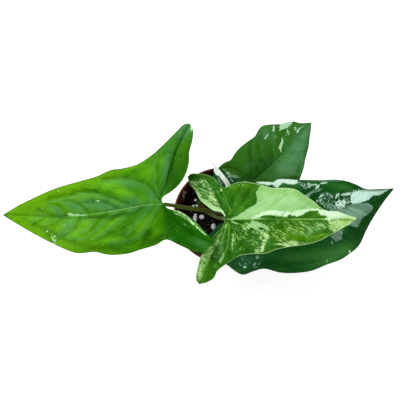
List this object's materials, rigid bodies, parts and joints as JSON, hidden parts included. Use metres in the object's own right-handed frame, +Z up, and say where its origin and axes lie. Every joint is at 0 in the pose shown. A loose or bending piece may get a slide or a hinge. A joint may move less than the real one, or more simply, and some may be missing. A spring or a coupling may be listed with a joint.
{
  "type": "potted arrowhead plant",
  "caption": "Variegated arrowhead plant with broad arrow-shaped leaves on slender stalks, in a small round nursery pot.",
  "frame": {"origin": "centre of the pot's flat base", "axes": "+Z up out of the pot, +X along the plant's greatest spread, towards the tip of the dark leaf"},
  "size_m": [0.2878, 0.1218, 0.1743],
  "materials": {
    "pot": "satin",
    "soil": "matte",
    "stem": "satin",
    "petiole": "satin",
    "blade_left": "satin",
    "blade_centre": "satin",
    "blade_right": "satin",
    "blade_back": "satin",
    "blade_new": "satin"
  },
  "bodies": {
    "root": {"pot": "pot", "soil": "soil", "stem_main": "stem", "stem_side": "stem", "petiole_left": "petiole", "petiole_centre": "petiole", "petiole_right": "petiole", "petiole_back": "petiole", "petiole_new": "petiole", "blade_left": "blade_left", "blade_centre": "blade_centre", "blade_right": "blade_right", "blade_back": "blade_back", "blade_new": "blade_new"}
  },
  "joints": []
}
